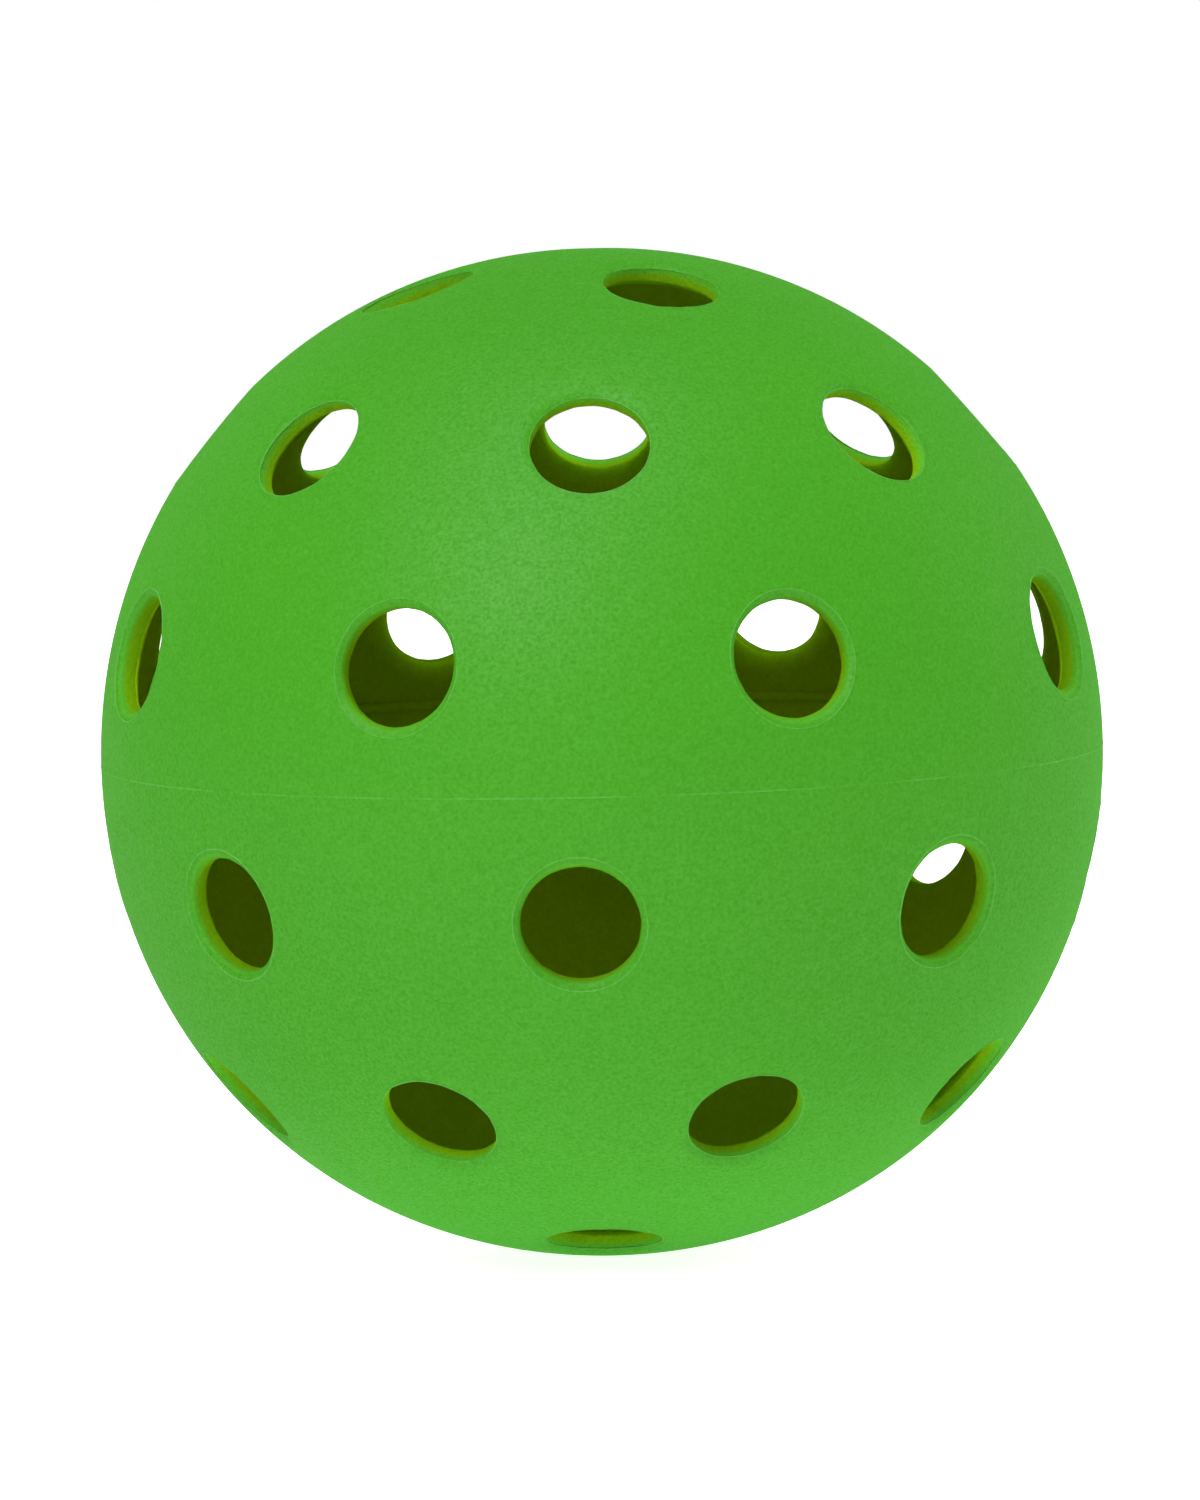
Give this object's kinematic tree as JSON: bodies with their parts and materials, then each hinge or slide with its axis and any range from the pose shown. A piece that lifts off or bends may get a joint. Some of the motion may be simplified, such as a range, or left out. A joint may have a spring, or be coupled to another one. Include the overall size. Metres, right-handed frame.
{
  "type": "pickleball",
  "caption": "Hollow perforated plastic ball for paddle play: two moulded half shells with rings of round holes, welded together at the equator.",
  "frame": {"origin": "centre of the ball", "axes": "+Z through the pole of the upper half, square to the seam; -Y towards the picture's viewer, through a hole of the upper half's middle ring"},
  "size_m": [0.074, 0.074, 0.074],
  "materials": {
    "shell": "satin",
    "weld": "satin"
  },
  "bodies": {
    "root": {"upper_half": "shell", "lower_half": "shell", "weld_seam": "weld"}
  },
  "joints": []
}
